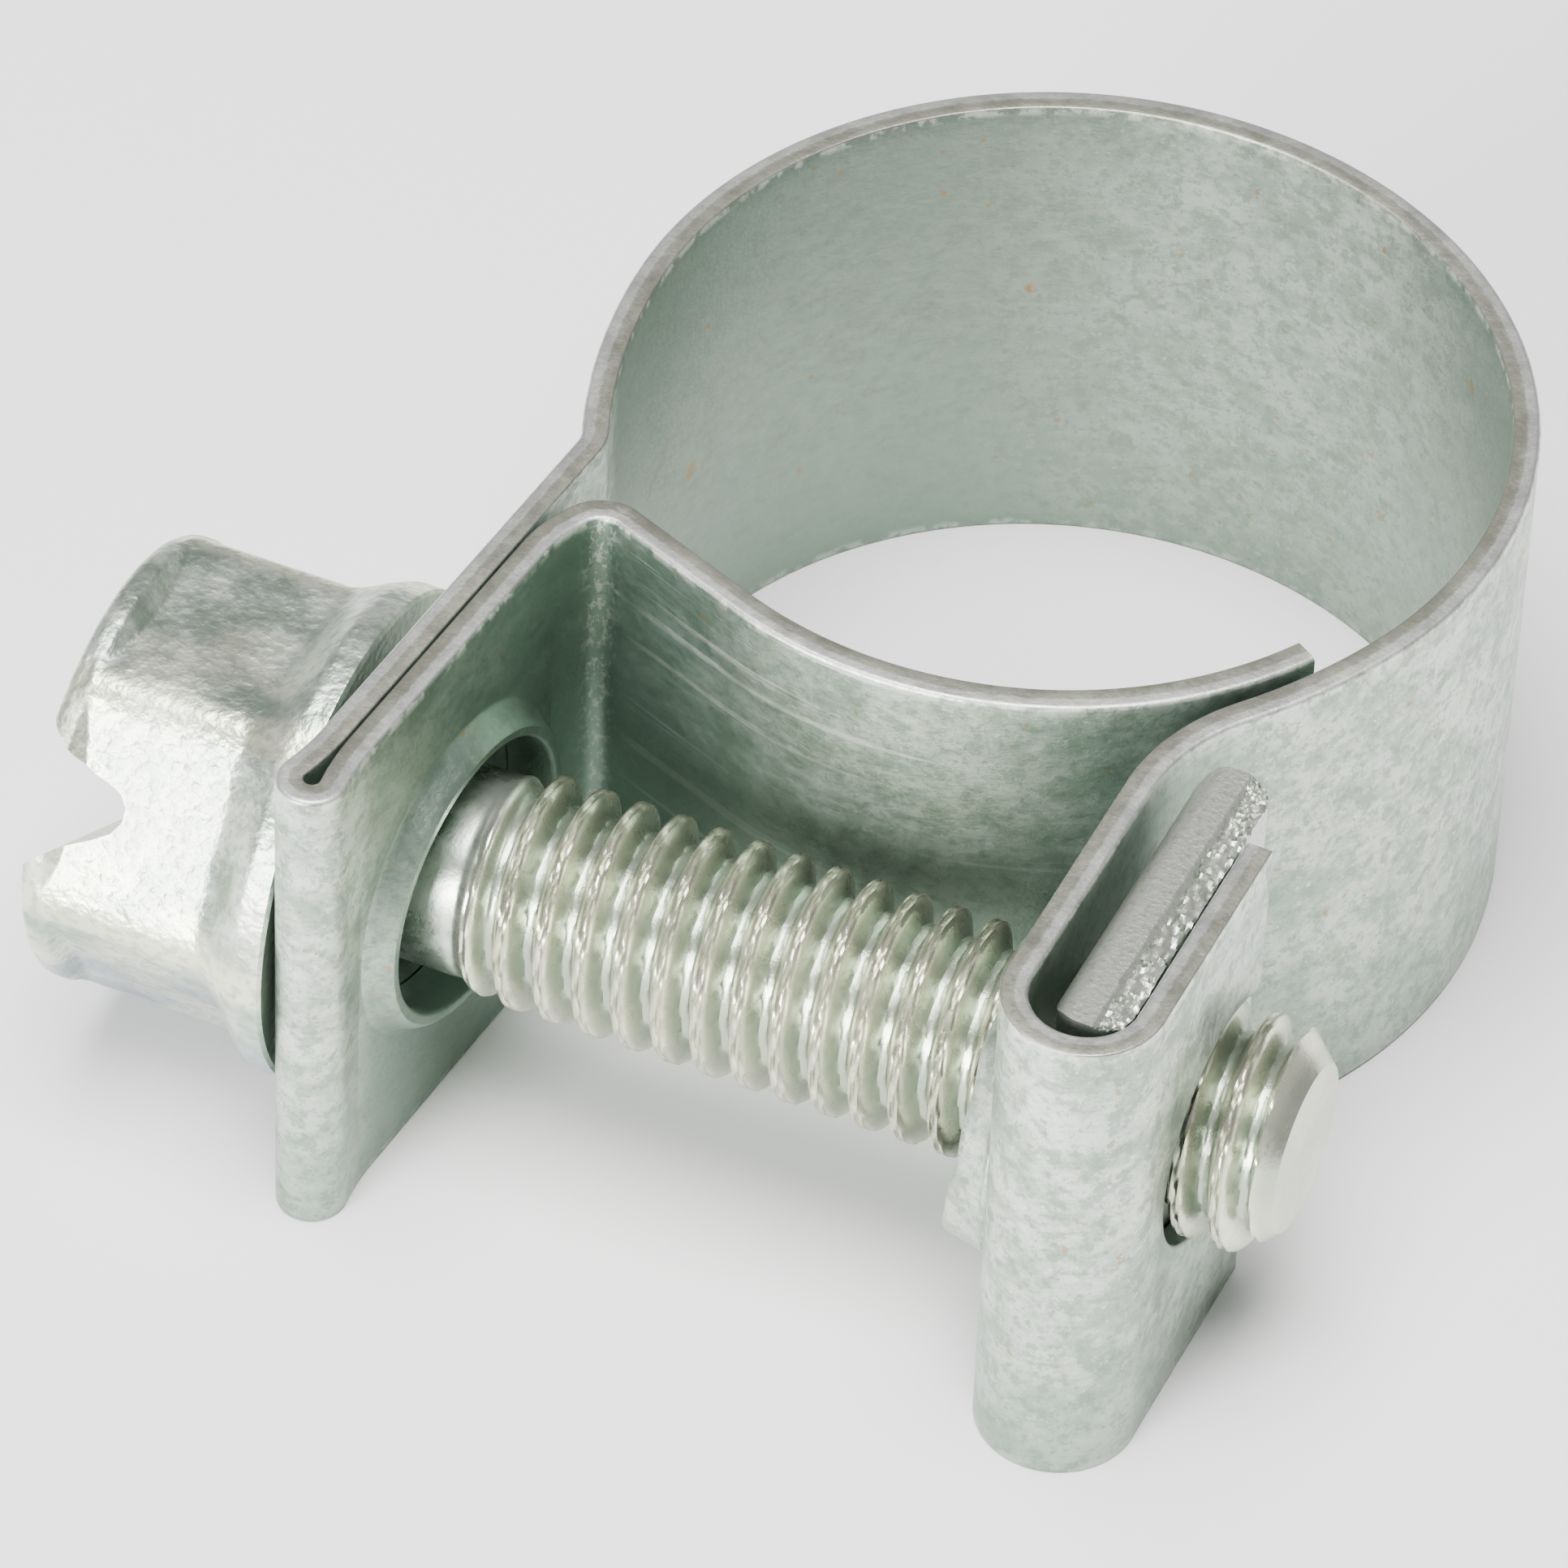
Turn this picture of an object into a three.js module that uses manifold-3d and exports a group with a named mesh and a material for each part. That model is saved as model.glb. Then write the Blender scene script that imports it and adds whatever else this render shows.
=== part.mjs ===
// Bolted hose clamp: one folded steel strip, a slotted hex flange screw and a plate nut.
// Millimetres, +Z up. The screw lies along X, the hose runs along Z, the two ears stand toward -Y.
import * as THREE from 'three';
import { mergeVertices } from 'three/addons/utils/BufferGeometryUtils.js';
import Module from 'manifold-3d';

const wasm = await Module();
wasm.setup();

// Strip
const WIDTH = 9.8;             // along the hose
const THICK = 0.46;
const LOOP_R = 7.59;           // middle of the strip, round the hose
const LINK_CLEAR = 0.04;       // smallest cut between two lengths of strip that flex on each other

// Ears
const SCREW_Y = -9.76;         // height of the screw line out from the loop
const SCREW_Z = WIDTH / 2;
const EAR_HOLE_R = 2.45;
const OUTER_HOLE_R = 2.15;     // plain notch in the outer layer of the nut ear
const LIP_BASE_R = 2.95;
const LIP_RIM_R = 2.75;
const SCREW_LIP_H = 0.45;
const NUT_LIP_H = 0.9;

// Screw, M4 x 0.7
const CREST_R = 1.97;
const ROOT_R = 1.55;
const PITCH = 0.7;
const THREAD_PHASE = 0.25;     // a crest stands this far along X on the +Y side
const NECK_R = 1.75;
const THREAD_START = -6.0;
const SCREW_END = 8.4;
const TIP_R = 1.45;
const TIP_CHAMFER = 0.5;
const HEX_AF = 7.0;
const HEX_TURN = -2;           // degrees, first corner of the hexagon from +Y
const HEAD_FACE = -12.8;
const HEX_BASE = -9.5;
const FLANGE_R = 4.25;
const FLANGE_FACE = -8.22;
const RIM_R = 3.85;            // round rim left at the end of the hexagon
const RIM_LENGTH = 0.85;
const SLOT_MOUTH = 2.1;
const SLOT_WIDTH = 1.1;
const SLOT_DEPTH = 1.45;

// Plate nut
const NUT_THICK = 1.27;
const NUT_FRONT = 0.6;         // how far it reaches into the fold of the ear
const NUT_LENGTH = 6.3;
const NUT_CORNER = 0.5;
const NUT_BACK_CORNER = 0.15;  // back corner next to the outer layer
const NUT_GAP = 0.05;
const THREAD_CLEAR = 0.05;

// The strip leaves the crown of the loop both ways. A positive turn bends to the left of the path.
const LEAN_TURN = 28;          // bend from loop to screw ear
const SCREW_SIDE = [
  { r: LOOP_R, turn: 90 },
  { r: 11.02, turn: 21.45 },
  { r: 0.75, turn: -LEAN_TURN },
  { len: 7.9 },                // outer layer of the ear
  { r: 5.1, turn: -12 },       // the layers part a little toward the fold
  { r: 0.37, turn: 204 },      // closed fold
  { r: 5.1, turn: -12 },
  { len: 5.348 },              // inner layer of the ear
  { r: 2.5, turn: -25 },
  { r: 0.6, turn: -80.5 },     // sharp bend into the tongue
  { len: 2.616 },
  { r: 7.2, turn: 80 },        // tongue under the gap
];
const NUT_SIDE = [
  { r: LOOP_R, turn: -115 },
  { r: 10.55, turn: -15.45 },
  { r: 3.68, turn: 38.8 },
  { len: 4.64 },               // inner layer of the ear
  { r: 1.13, turn: 180 },      // open fold that holds the nut
  { len: 4.23 },               // outer layer of the ear, too short to close its hole
];
const SCREW_INNER = 7;         // places in the two lists above
const TONGUE_BEND = 9;
const TONGUE_ARC = 11;
const NUT_BEND = 2;
const NUT_INNER = 3;
const NUT_OUTER = 5;

// How far each flexing line turns, in degrees, while the screw makes its seven turns.
const LOOP_FLEX = [15.41, -5.24, -7.58, -7.10, -9.37, 3.63, 10.26];
const TONGUE_FLEX = [37.55, -14.38, 9.83];
const LOOP_END_AT = 0.5;       // last flexing line, this far into the bend of the nut ear

const STRIP_ARC_STEP = 4;      // degrees for wide arcs
const BEND_STEP = 15;          // degrees for tight bends
const WIDE_R = 2;
const ROUND_SEGMENTS = 48;
const THREAD_SEGMENTS = 24;

const rad = THREE.MathUtils.degToRad;

// ---- paths of the strip -------------------------------------------------------------------

function advance(from, bend, length) {
  const heading = from.heading + bend * length;
  if (bend === 0) {
    return {
      x: from.x + length * Math.cos(heading),
      y: from.y + length * Math.sin(heading),
      heading,
    };
  }
  return {
    x: from.x + (Math.sin(heading) - Math.sin(from.heading)) / bend,
    y: from.y + (Math.cos(from.heading) - Math.cos(heading)) / bend,
    heading,
  };
}

// Turns the list of arcs and straights into stretches that know where they start.
function layPath(start, steps) {
  const stretches = [];
  let point = start;
  let distance = 0;
  for (const step of steps) {
    const length = step.len ?? step.r * Math.abs(rad(step.turn));
    const bend = step.turn ? rad(step.turn) / length : 0;
    stretches.push({ point, bend, length, distance, r: step.r ?? Infinity });
    point = advance(point, bend, length);
    distance += length;
  }
  return { stretches, total: distance };
}

function pointAt(path, distance) {
  const inside = path.stretches.filter((s) => s.distance <= distance + 1e-9);
  const stretch = inside[inside.length - 1];
  return advance(stretch.point, stretch.bend, distance - stretch.distance);
}

// Points of the middle line between two distances, closer together in the tight bends.
function samplePath(path, from, to) {
  const samples = [pointAt(path, from)];
  for (const s of path.stretches) {
    const first = Math.max(from, s.distance);
    const last = Math.min(to, s.distance + s.length);
    if (last - first < 1e-6) {
      continue;
    }
    const turn = Math.abs(s.bend) * (last - first);
    const count = Math.max(1, Math.ceil(turn / rad(s.r > WIDE_R ? STRIP_ARC_STEP : BEND_STEP)));
    for (let i = 1; i <= count; i += 1) {
      const along = first + (last - first) * i / count - s.distance;
      samples.push(advance(s.point, s.bend, along));
    }
  }
  return samples;
}

function offsetPoint(sample, offset) {
  return new THREE.Vector2(
    sample.x - offset * Math.sin(sample.heading),
    sample.y + offset * Math.cos(sample.heading),
  );
}

// A length of strip, standing on z = 0.
function stripSolid(path, from, to) {
  const samples = samplePath(path, from, to);
  const leftEdge = samples.map((s) => offsetPoint(s, THICK / 2));
  const rightEdge = samples.map((s) => offsetPoint(s, -THICK / 2));
  const shape = new THREE.Shape([...rightEdge, ...leftEdge.reverse()]);
  return new THREE.ExtrudeGeometry(shape, { depth: WIDTH, bevelEnabled: false });
}

const screwSide = layPath({ x: 0, y: LOOP_R, heading: Math.PI }, SCREW_SIDE);
const nutSide = layPath({ x: 0, y: LOOP_R, heading: 0 }, NUT_SIDE);

function middleOf(path, place) {
  return path.stretches[place].distance + path.stretches[place].length / 2;
}

// Where the straight stretch at this place crosses the screw line.
function screwCrossing(path, place) {
  const { point } = path.stretches[place];
  const along = (SCREW_Y - point.y) / Math.sin(point.heading);
  return advance(point, 0, along);
}

// ---- solids -------------------------------------------------------------------------------

function toManifold(geometry) {
  const bare = geometry.clone();
  bare.deleteAttribute('normal');
  bare.deleteAttribute('uv');
  const merged = mergeVertices(bare, 1e-5);
  const index = merged.index.array;
  const triangles = [];
  for (let i = 0; i < index.length; i += 3) {
    const [a, b, c] = [index[i], index[i + 1], index[i + 2]];
    if (a !== b && b !== c && c !== a) {
      triangles.push(a, b, c);
    }
  }
  return new wasm.Manifold(new wasm.Mesh({
    numProp: 3,
    vertProperties: new Float32Array(merged.attributes.position.array),
    triVerts: new Uint32Array(triangles),
  }));
}

function toGeometry(solid) {
  const mesh = solid.getMesh();
  const geometry = new THREE.BufferGeometry();
  geometry.setAttribute('position', new THREE.BufferAttribute(mesh.vertProperties, 3));
  geometry.setIndex(new THREE.BufferAttribute(mesh.triVerts, 1));
  const flat = geometry.toNonIndexed();
  flat.computeVertexNormals();
  return flat;
}

// Turned solid about the X axis. The profile is a list of [radius, x] from one end to the other.
function turned(profile, segments = ROUND_SEGMENTS) {
  const points = profile.map(([radius, x]) => new THREE.Vector2(radius, x));
  return new THREE.LatheGeometry(points, segments).rotateZ(-Math.PI / 2);
}

function cylinder(radius, from, to) {
  return turned([[0, from], [radius, from], [radius, to], [0, to]]);
}

// Puts a solid made about the X axis onto a layer of an ear, square to the strip.
function ontoLayer(geometry, crossing, angle) {
  return geometry.rotateZ(angle).translate(crossing.x, crossing.y, SCREW_Z);
}

// ---- strip --------------------------------------------------------------------------------

const loopStart = middleOf(screwSide, 2);
const loopEnd = nutSide.stretches[NUT_BEND].distance + LOOP_END_AT;
const tongueStart = middleOf(screwSide, TONGUE_BEND);

function flexGap(degrees) {
  return LINK_CLEAR + THICK * Math.tan(rad(Math.abs(degrees)) / 2);
}

// Cuts a run of strip into lengths, with the gap for each flexing line shared between both.
function cutRun(path, marks) {
  const lengths = [];
  for (let i = 0; i + 1 < marks.length; i += 1) {
    const [near, far] = [marks[i], marks[i + 1]].sort((a, b) => a.at - b.at);
    const from = near.at + flexGap(near.flex) / 2;
    const to = far.at - flexGap(far.flex) / 2;
    lengths.push(stripSolid(path, near.free ? near.at : from, far.free ? far.at : to));
  }
  return lengths;
}

// Screw-side half of the loop counts from the ear to the crown, the other half from the crown on.
function loopLengths() {
  const third = loopStart / 3;
  const screwHalf = [3, 2, 1, 0].map((n, i) => ({ at: third * n, flex: LOOP_FLEX[i] }));
  const nutHalf = [0, 1, 2, 3].map((n, i) => ({ at: loopEnd / 3 * n, flex: LOOP_FLEX[i + 3] }));
  return [...cutRun(screwSide, screwHalf), ...cutRun(nutSide, nutHalf)];
}

function tongueLengths() {
  const arc = screwSide.stretches[TONGUE_ARC];
  const firstCut = arc.distance + 0.3;
  const marks = [tongueStart, firstCut, (firstCut + screwSide.total) / 2]
    .map((at, i) => ({ at, flex: TONGUE_FLEX[i] }));
  marks.push({ at: screwSide.total, free: true });
  return cutRun(screwSide, marks);
}

function lipCone(crossing, angle, height) {
  return toManifold(ontoLayer(turned([
    [0, 0],
    [LIP_BASE_R, 0],
    [LIP_BASE_R, THICK / 2],
    [LIP_RIM_R, THICK / 2 + height],
    [0, THICK / 2 + height],
  ]), crossing, angle));
}

function holeThrough(crossing, angle, radius, reach) {
  return toManifold(ontoLayer(cylinder(radius, -reach, reach), crossing, angle));
}

// Doubled ear under the screw head, with one lip raised toward the gap.
function screwEar() {
  const blank = toManifold(stripSolid(
    screwSide,
    loopStart + flexGap(LOOP_FLEX[0]) / 2,
    tongueStart - flexGap(TONGUE_FLEX[0]) / 2,
  ));
  const crossing = screwCrossing(screwSide, SCREW_INNER);
  const angle = crossing.heading - Math.PI / 2;
  const solid = blank
    .add(lipCone(crossing, angle, SCREW_LIP_H))
    .subtract(holeThrough(crossing, angle, EAR_HOLE_R, 1.5));
  return toGeometry(solid);
}

// Folded ear that holds the nut, with a lip on its inner layer raised toward the gap.
function nutEar() {
  const blank = toManifold(stripSolid(
    nutSide,
    loopEnd + flexGap(LOOP_FLEX[6]) / 2,
    nutSide.total,
  ));
  const inner = screwCrossing(nutSide, NUT_INNER);
  const outer = screwCrossing(nutSide, NUT_OUTER);
  const gapward = inner.heading - Math.PI / 2;
  const solid = blank
    .add(lipCone(inner, gapward, NUT_LIP_H))
    .subtract(holeThrough(inner, gapward, EAR_HOLE_R, 1.3))
    .subtract(holeThrough(outer, gapward, OUTER_HOLE_R, 1));
  return toGeometry(solid);
}

// ---- screw --------------------------------------------------------------------------------

// One pitch of thread as [place in the pitch, how far from root to crest].
const THREAD_FORM = [[-0.09, 1], [0.09, 1], [0.39, 0], [0.61, 0]];

// Threaded rod about X. The rows of points climb with the helix, so crests stay unbroken.
function threadedRod(from, to, grow) {
  const rows = THREAD_FORM.length;
  const turns = Math.ceil((to - from) / PITCH) + 2;
  const first = PITCH * (Math.floor(from / PITCH) - 1);
  const last = rows * turns;
  const positions = [];
  for (let row = 0; row <= last + rows; row += 1) {
    const [place, height] = THREAD_FORM[row % rows];
    const start = first + THREAD_PHASE + PITCH * (Math.floor(row / rows) + place);
    const radius = ROOT_R + (CREST_R - ROOT_R) * height + grow;
    for (let i = 0; i < THREAD_SEGMENTS; i += 1) {
      const share = i / THREAD_SEGMENTS;
      const angle = 2 * Math.PI * share;
      positions.push(start + PITCH * share, radius * Math.cos(angle), radius * Math.sin(angle));
    }
  }
  // A full turn on, a row has become the row one pitch along.
  const vertex = (row, i) => (i < THREAD_SEGMENTS
    ? row * THREAD_SEGMENTS + i
    : (row + rows) * THREAD_SEGMENTS);
  const triangles = [];
  for (let row = 0; row < last; row += 1) {
    for (let i = 0; i < THREAD_SEGMENTS; i += 1) {
      const [a, b] = [vertex(row, i), vertex(row, i + 1)];
      const [c, d] = [vertex(row + 1, i), vertex(row + 1, i + 1)];
      triangles.push(a, b, c, b, d, c);
    }
  }
  for (const [row, flip] of [[0, true], [last, false]]) {
    const rim = [];
    for (let i = 0; i <= THREAD_SEGMENTS; i += 1) {
      rim.push(vertex(row, i));
    }
    for (let step = rows - 1; step > 0; step -= 1) {
      rim.push(vertex(row + step, 0));
    }
    const centre = positions.length / 3;
    positions.push(first + THREAD_PHASE + PITCH * (row / rows + 0.5), 0, 0);
    for (let i = 0; i < rim.length; i += 1) {
      const [p, q] = [rim[i], rim[(i + 1) % rim.length]];
      triangles.push(...(flip ? [centre, q, p] : [centre, p, q]));
    }
  }
  const geometry = new THREE.BufferGeometry();
  geometry.setAttribute('position', new THREE.Float32BufferAttribute(positions, 3));
  geometry.setIndex(triangles);
  return toManifold(geometry);
}

function threadedShank() {
  const envelope = turned([
    [0, THREAD_START],
    [ROOT_R, THREAD_START],
    [CREST_R + 0.1, THREAD_START + 0.35],
    [CREST_R + 0.1, SCREW_END - TIP_CHAMFER - 0.08],
    [TIP_R, SCREW_END],
    [0, SCREW_END],
  ]);
  return threadedRod(THREAD_START, SCREW_END, 0).intersect(toManifold(envelope));
}

// Hexagonal prism about X. Its corners are trimmed round at the end, where a round rim is left.
function hexPrism() {
  const cornerR = HEX_AF / Math.sqrt(3);
  const corners = [];
  for (let i = 0; i < 6; i += 1) {
    const angle = rad(HEX_TURN - 60 * i);
    corners.push(new THREE.Vector2(-cornerR * Math.sin(angle), cornerR * Math.cos(angle)));
  }
  const length = HEX_BASE - HEAD_FACE + 0.5;
  const prism = new THREE.ExtrudeGeometry(
    new THREE.Shape(corners),
    { depth: length, bevelEnabled: false },
  ).rotateY(Math.PI / 2).translate(HEAD_FACE, 0, 0);
  const chamfer = turned([
    [0, HEAD_FACE],
    [RIM_R - 0.15, HEAD_FACE],
    [RIM_R, HEAD_FACE + 0.12],
    [cornerR + 0.1, HEAD_FACE + 0.6],
    [cornerR + 0.1, HEX_BASE + 1],
    [0, HEX_BASE + 1],
  ]);
  const rim = turned([
    [0, HEAD_FACE],
    [RIM_R - 0.15, HEAD_FACE],
    [RIM_R, HEAD_FACE + 0.12],
    [HEX_AF / 2 - 0.1, HEAD_FACE + RIM_LENGTH],
    [0, HEAD_FACE + RIM_LENGTH],
  ]);
  return toManifold(prism).intersect(toManifold(chamfer)).add(toManifold(rim));
}

// Screwdriver slot across the head, flared at the mouth and rounded at the bottom.
function driverSlot() {
  const half = SLOT_WIDTH / 2;
  const section = [
    [SLOT_MOUTH / 2, -0.1],
    [half + 0.25, 0.2],
    [half, 0.55],
    [half - 0.08, SLOT_DEPTH - 0.3],
    [half - 0.35, SLOT_DEPTH],
  ];
  const outline = [
    ...section,
    ...section.map(([across, depth]) => [-across, depth]).reverse(),
  ].map(([across, depth]) => new THREE.Vector2(HEAD_FACE + depth, across));
  const reach = HEX_AF;
  const slot = new THREE.ExtrudeGeometry(
    new THREE.Shape(outline),
    { depth: 2 * reach, bevelEnabled: false },
  ).translate(0, 0, -reach);
  // The slot runs square to one pair of flats, from the middle of one to the middle of the other.
  slot.rotateX(rad(HEX_TURN + 150 - 90));
  return toManifold(slot);
}

function flange() {
  return toManifold(turned([
    [0, HEX_BASE - 0.2],
    [HEX_AF / 2, HEX_BASE - 0.2],
    [HEX_AF / 2 + 0.15, HEX_BASE + 0.2],
    [FLANGE_R - 0.25, HEX_BASE + 0.5],
    [FLANGE_R, HEX_BASE + 0.75],
    [FLANGE_R, FLANGE_FACE - 0.08],
    [FLANGE_R - 0.08, FLANGE_FACE],
    [0, FLANGE_FACE],
  ]));
}

function clampScrew() {
  const neck = toManifold(cylinder(NECK_R, FLANGE_FACE - 1, THREAD_START + 0.1));
  const solid = hexPrism()
    .subtract(driverSlot())
    .add(flange())
    .add(neck)
    .add(threadedShank());
  return toGeometry(solid).translate(0, SCREW_Y, SCREW_Z);
}

// ---- nut ----------------------------------------------------------------------------------

// Plate nut in the fold of the nut ear, lying along the outer layer.
function plateNut() {
  const { point } = nutSide.stretches[NUT_OUTER];
  const near = THICK / 2 + NUT_GAP;
  const far = near + NUT_THICK;
  const front = -NUT_FRONT;
  const back = NUT_LENGTH - NUT_FRONT;
  const c = NUT_CORNER;
  const b = NUT_BACK_CORNER;
  const outline = new THREE.Shape();
  outline.absarc(front + c, near + c, c, Math.PI, 1.5 * Math.PI);
  outline.absarc(back - b, near + b, b, -Math.PI / 2, 0);
  outline.absarc(back - c, far - c, c, 0, Math.PI / 2);
  outline.absarc(front + c, far - c, c, Math.PI / 2, Math.PI);
  const plate = new THREE.ExtrudeGeometry(outline, {
    depth: WIDTH,
    bevelEnabled: false,
    curveSegments: 5,
  }).rotateZ(point.heading).translate(point.x, point.y, 0);
  const crossing = screwCrossing(nutSide, NUT_OUTER);
  const bore = threadedRod(crossing.x - 4, crossing.x + 2, THREAD_CLEAR)
    .translate([0, SCREW_Y, SCREW_Z]);
  return toGeometry(toManifold(plate).subtract(bore));
}

// ---- assembly -----------------------------------------------------------------------------

const zincStrip = { color: 0xb9bcae, roughness: 0.42, metalness: 0.9 };
const zincScrew = { color: 0xc6c8bd, roughness: 0.34, metalness: 0.92 };
const zincNut = { color: 0xaeb0a8, roughness: 0.5, metalness: 0.88 };

const clamp = new THREE.Group();

function addPart(name, geometry, look) {
  const mesh = new THREE.Mesh(geometry, new THREE.MeshStandardMaterial(look));
  mesh.name = name;
  clamp.add(mesh);
}

addPart('band_screw_ear', screwEar(), zincStrip);
loopLengths().forEach((geometry, i) => addPart(`band_loop_${i + 1}`, geometry, zincStrip));
tongueLengths().forEach((geometry, i) => addPart(`band_tongue_${i + 1}`, geometry, zincStrip));
addPart('band_nut_ear', nutEar(), zincStrip);
addPart('clamp_screw', clampScrew(), zincScrew);
addPart('plate_nut', plateNut(), zincNut);

// The origin goes to the middle of the bottom of the box round the whole clamp.
const box = new THREE.Box3().setFromObject(clamp);
const middle = box.getCenter(new THREE.Vector3());
clamp.position.set(-middle.x, -middle.y, -box.min.z);

export default clamp;
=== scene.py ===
"""Looks of the bolted hose clamp: one folded zinc-plated strip, its flange screw and its plate nut.

Lengths in this file are millimetres in the clamp's own axes: the loop's middle is at x = y = 0,
the screw lies along x, and the lower strip edge is at z = 0. place() turns them into the row frame.
"""
import math

import bmesh
import bpy
import numpy as np
from mathutils import Matrix, Vector


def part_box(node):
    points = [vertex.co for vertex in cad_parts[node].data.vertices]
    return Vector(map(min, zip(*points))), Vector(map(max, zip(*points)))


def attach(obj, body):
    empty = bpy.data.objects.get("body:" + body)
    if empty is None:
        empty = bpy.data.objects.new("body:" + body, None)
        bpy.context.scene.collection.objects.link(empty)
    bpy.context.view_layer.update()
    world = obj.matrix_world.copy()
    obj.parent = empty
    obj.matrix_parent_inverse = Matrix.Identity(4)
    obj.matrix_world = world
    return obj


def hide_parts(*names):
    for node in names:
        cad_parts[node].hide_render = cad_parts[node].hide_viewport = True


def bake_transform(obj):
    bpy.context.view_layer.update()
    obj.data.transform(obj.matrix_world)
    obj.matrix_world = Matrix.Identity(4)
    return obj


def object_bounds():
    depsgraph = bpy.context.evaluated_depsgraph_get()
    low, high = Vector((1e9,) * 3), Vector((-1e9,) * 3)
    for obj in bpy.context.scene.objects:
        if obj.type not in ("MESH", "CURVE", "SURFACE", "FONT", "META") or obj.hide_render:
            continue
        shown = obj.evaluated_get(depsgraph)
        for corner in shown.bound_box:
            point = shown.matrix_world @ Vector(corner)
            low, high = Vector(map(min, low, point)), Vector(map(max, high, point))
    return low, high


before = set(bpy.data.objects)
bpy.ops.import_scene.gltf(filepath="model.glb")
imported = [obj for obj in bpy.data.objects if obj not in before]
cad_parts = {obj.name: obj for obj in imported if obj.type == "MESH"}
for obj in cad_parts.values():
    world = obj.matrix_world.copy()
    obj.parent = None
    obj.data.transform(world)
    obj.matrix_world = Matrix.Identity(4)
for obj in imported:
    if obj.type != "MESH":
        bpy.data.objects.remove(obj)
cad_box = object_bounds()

MM = 0.001

# ---- sizes --------------------------------------------------------------------------------

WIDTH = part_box("band_screw_ear")[1][2] / MM
THICK = 0.46
LOOP_R = 7.59
SCREW_Y = -9.76
SCREW_Z = WIDTH / 2
HEAD_FACE = -12.8
SHIFT = Vector((
    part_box("clamp_screw")[0][0] / MM - HEAD_FACE,
    cad_box[1][1] / MM - LOOP_R - THICK / 2,
    0,
))

# The strip leaves the crown of the loop both ways, in arcs (radius, turn) and straights (length,).
SCREW_SIDE = [
    (LOOP_R, 90), (11.02, 21.45), (0.75, -28), (7.9,), (5.1, -12), (0.37, 204),
    (5.1, -12), (5.348,), (2.5, -25), (0.6, -80.5), (2.616,), (7.2, 80),
]
NUT_SIDE = [(LOOP_R, -115), (10.55, -15.45), (3.68, 38.8), (4.64,), (1.13, 180), (4.23,)]
# Places in the two lists above.
SCREW_BEND, SCREW_INNER, TONGUE_LEAN, TONGUE_BEND, TONGUE_ARC = 2, 7, 8, 9, 11
NUT_BEND, NUT_INNER, NUT_OUTER = 2, 3, 5
LAYER_STEP = 0.5      # from the middle of one layer of the doubled ear to that of the other

LOOP_END_AT = 0.5     # last flexing line of the loop, past the start of the nut's bend
SCREW_EAR_CUT = 1.2   # from the first flexing line of the loop to the screw ear
NUT_EAR_CUT = 0.62    # from the last flexing line of the loop to the nut ear
TONGUE_CUT = 0.5      # end of the screw ear, past the start of the tongue's lean
TONGUE_FLEX_AT = 0.3  # second flexing line of the tongue, past the start of its arc
LOOP_BODIES = 6
TONGUE_BODIES = 3

EAR_HOLE_R = 2.45
EAR_HOLE_FLARE = 0.07
OUTER_HOLE_R = 2.15
LIP_BASE_R = 2.95
LIP_WALL = 0.24       # how much smaller the rim of a lip is than its base
LIP_PLUG = 0.5        # height of the middle of a lip before its hole is cut
SCREW_LIP_H = 0.45
NUT_LIP_H = 0.9
TORN_CORNER = math.radians(140)      # place of the torn corner round the lip of the nut ear

CREST_R = 1.97
ROOT_R = 1.55
PITCH = 0.7
THREAD_PHASE = 0.25
NECK_R = 1.75
THREAD_START = -6.0
THREAD_STATIONS = 16  # rings of points in one pitch
NECK_SINK = 0.3       # part of the neck inside the flange
SCREW_END = 8.4
TIP_R = 1.45
TIP_CHAMFER = 0.55

HEX_AF = 7.0
HEX_TURN = -2
HEX_CORNER_R = 3.93
HEX_BASE = -9.5
FILLET_START = HEX_BASE - 0.15
FILLET_END = HEX_BASE + 0.85
RIM_R = 3.85
RIM_LENGTH = 0.85
RIM_EDGE = 0.26       # rounded edge of the rim
RIM_BAND = 0.3        # plain round part of the rim
FLANGE_R = 4.25
FLANGE_FACE = -8.22
FLANGE_BEVEL = 0.06
SLOT_TURN = HEX_TURN + 150

NUT_THICK = 1.27
NUT_FRONT = 0.6
NUT_LENGTH = 6.3
NUT_CORNER = 0.55
NUT_TORN = 0.45       # torn part of the punched edge, next to the outer layer
NUT_ROLL_AT = 0.25    # from the plate's middle to the rolled-over part of the punched edge
NUT_GAP = 0.05
NUT_BORE_R = 2.02
NUT_SEED = 7          # of the random grain on the torn edge

ROUND = 96            # points round a hole, a lip and the thread
BORE_ROUND = 72
HEAD_ROUND = 240


def place(x, y, z):
    """A point in the clamp's axes, in millimetres, as a point in the row frame, in metres."""
    return (Vector((x, y, z)) + SHIFT) * MM


# ---- path of the strip --------------------------------------------------------------------

def advance(x, y, heading, bend, length):
    """Point and heading a length further along a straight, or an arc whose radius is 1 / bend."""
    end = heading + bend * length
    if bend == 0:
        return x + length * math.cos(heading), y + length * math.sin(heading), end
    return (
        x + (math.sin(end) - math.sin(heading)) / bend,
        y + (math.cos(heading) - math.cos(end)) / bend,
        end,
    )


def lay_path(heading, steps):
    """Stretches (start length, length, bend, x, y, heading) of a path that starts at the crown."""
    stretches = []
    x, y, so_far = 0.0, LOOP_R, 0.0
    for step in steps:
        turn = math.radians(step[1]) if len(step) == 2 else 0.0
        length = step[0] * abs(turn) if turn else step[0]
        bend = turn / length
        stretches.append((so_far, length, bend, x, y, heading))
        x, y, heading = advance(x, y, heading, bend, length)
        so_far += length
    return stretches, so_far


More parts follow.
